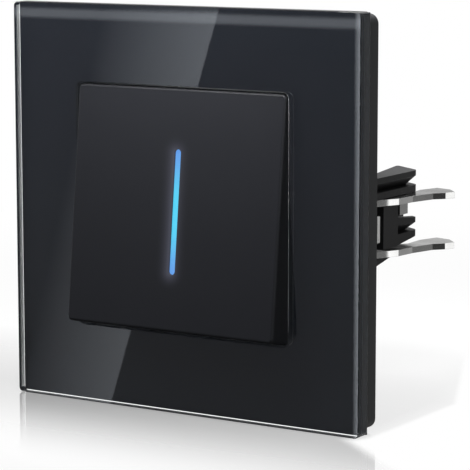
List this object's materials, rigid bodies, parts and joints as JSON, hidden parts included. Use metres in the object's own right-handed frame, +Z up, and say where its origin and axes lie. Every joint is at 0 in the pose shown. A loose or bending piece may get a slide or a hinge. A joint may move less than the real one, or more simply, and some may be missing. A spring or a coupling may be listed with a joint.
{
  "type": "pushbutton light switch",
  "caption": "Square glass-fronted wall switch with one tilted, back-lit push button, steel mounting plate, contact case and side claws.",
  "frame": {"origin": "middle of the two box screws, on the wall plane", "axes": "+X right seen from the front, +Y into the wall, +Z up"},
  "size_m": [0.082, 0.0532, 0.082],
  "materials": {
    "glass": "polished, clear",
    "foil": "smooth black film",
    "frame_plastic": "fine moulded texture",
    "steel_plate": "zinc plated, dull",
    "claw_steel": "zinc plated, bright",
    "screw_steel": "zinc plated",
    "pin_steel": "ground",
    "case_plastic": "moulded, satin",
    "cover_plastic": "moulded, satin",
    "guide_plastic": "moulded, satin",
    "cap_plastic": "fine spark-eroded matt",
    "carrier_plastic": "moulded, satin",
    "light_bar": "clear, lit blue from behind",
    "light_guide": "frosted, clear",
    "plunger_plastic": "moulded, natural",
    "copper": "rolled copper alloy",
    "brass": "machined",
    "spring_steel": "drawn wire",
    "board": "lacquered laminate",
    "lamp": "clear resin"
  },
  "bodies": {
    "mechanism": {"glass_panel": "glass", "backing_tape": "foil", "panel_frame": "frame_plastic", "mounting_plate": "steel_plate", "mechanism_case": "case_plastic", "mechanism_cover": "cover_plastic", "case_screw_1": "screw_steel", "case_screw_2": "screw_steel", "case_screw_3": "screw_steel", "case_screw_4": "screw_steel", "hinge_pin": "pin_steel", "fixed_contact_load": "brass", "fixed_contact_line": "brass", "terminal_line": "brass", "terminal_load": "brass", "terminal_neutral": "brass", "terminal_screw_line": "screw_steel", "terminal_screw_load": "screw_steel", "terminal_screw_neutral": "screw_steel", "lamp_board": "board", "indicator_lamp_1": "lamp", "indicator_lamp_2": "lamp", "indicator_lamp_3": "lamp", "lamp_lead_neutral": "brass", "lamp_lead_line": "brass", "return_spring": "spring_steel", "right_claw_pin": "pin_steel", "left_claw_pin": "pin_steel", "right_claw_guide": "guide_plastic", "left_claw_guide": "guide_plastic"},
    "button": {"button_cap": "cap_plastic", "button_carrier": "carrier_plastic", "light_bar": "light_bar", "light_guide": "light_guide"},
    "plunger": {"plunger": "plunger_plastic", "contact_bridge": "copper"},
    "right_claw": {"right_claw": "claw_steel"},
    "left_claw": {"left_claw": "claw_steel"},
    "right_claw_screw": {"right_claw_screw": "screw_steel"},
    "left_claw_screw": {"left_claw_screw": "screw_steel"},
    "right_claw_nut": {"right_claw_nut": "claw_steel"},
    "left_claw_nut": {"left_claw_nut": "claw_steel"}
  },
  "joints": [
    {"name": "button_press", "type": "hinge", "parent": "mechanism", "child": "button", "pos_m": [0, -0.0048, 0.0205], "axis": [1, 0, 0], "range_deg": [0, 4.6], "stiffness_Nm_per_rad": 0.6, "springref_deg": -11.46},
    {"name": "plunger_slide", "type": "slide", "parent": "mechanism", "child": "plunger", "axis": [0, 1, 0], "range_m": [0, 0.00293], "deforming": ["return_spring"]},
    {"name": "right_claw_screw_turn", "type": "hinge", "parent": "mechanism", "child": "right_claw_screw", "pos_m": [0.0285, 0, -0.0039], "axis": [0, 1, 0], "range_deg": [-817.8, 503.7]},
    {"name": "right_claw_swing", "type": "hinge", "parent": "mechanism", "child": "right_claw", "pos_m": [0.0235, 0.004, -0.0039], "axis": [0, 0, -1], "range_deg": [-13, 8]},
    {"name": "right_claw_nut_slide", "type": "slide", "parent": "mechanism", "child": "right_claw_nut", "axis": [0, -1, 0], "range_m": [-0.00114, 0.0007]},
    {"name": "left_claw_screw_turn", "type": "hinge", "parent": "mechanism", "child": "left_claw_screw", "pos_m": [-0.0285, 0, -0.0039], "axis": [0, 1, 0], "range_deg": [-817.8, 503.7]},
    {"name": "left_claw_swing", "type": "hinge", "parent": "mechanism", "child": "left_claw", "pos_m": [-0.0235, 0.004, -0.0039], "axis": [0, 0, 1], "range_deg": [-13, 8]},
    {"name": "left_claw_nut_slide", "type": "slide", "parent": "mechanism", "child": "left_claw_nut", "axis": [0, -1, 0], "range_m": [-0.00114, 0.0007]}
  ],
  "couplings": [
    {"joint": "plunger_slide", "follows": "button_press", "m_per_rad": 0.0365},
    {"joint": "right_claw_screw_turn", "follows": "right_claw_swing", "ratio": 62.832},
    {"joint": "right_claw_nut_slide", "follows": "right_claw_swing", "m_per_rad": 0.005},
    {"joint": "left_claw_screw_turn", "follows": "left_claw_swing", "ratio": 62.832},
    {"joint": "left_claw_nut_slide", "follows": "left_claw_swing", "m_per_rad": 0.005}
  ]
}
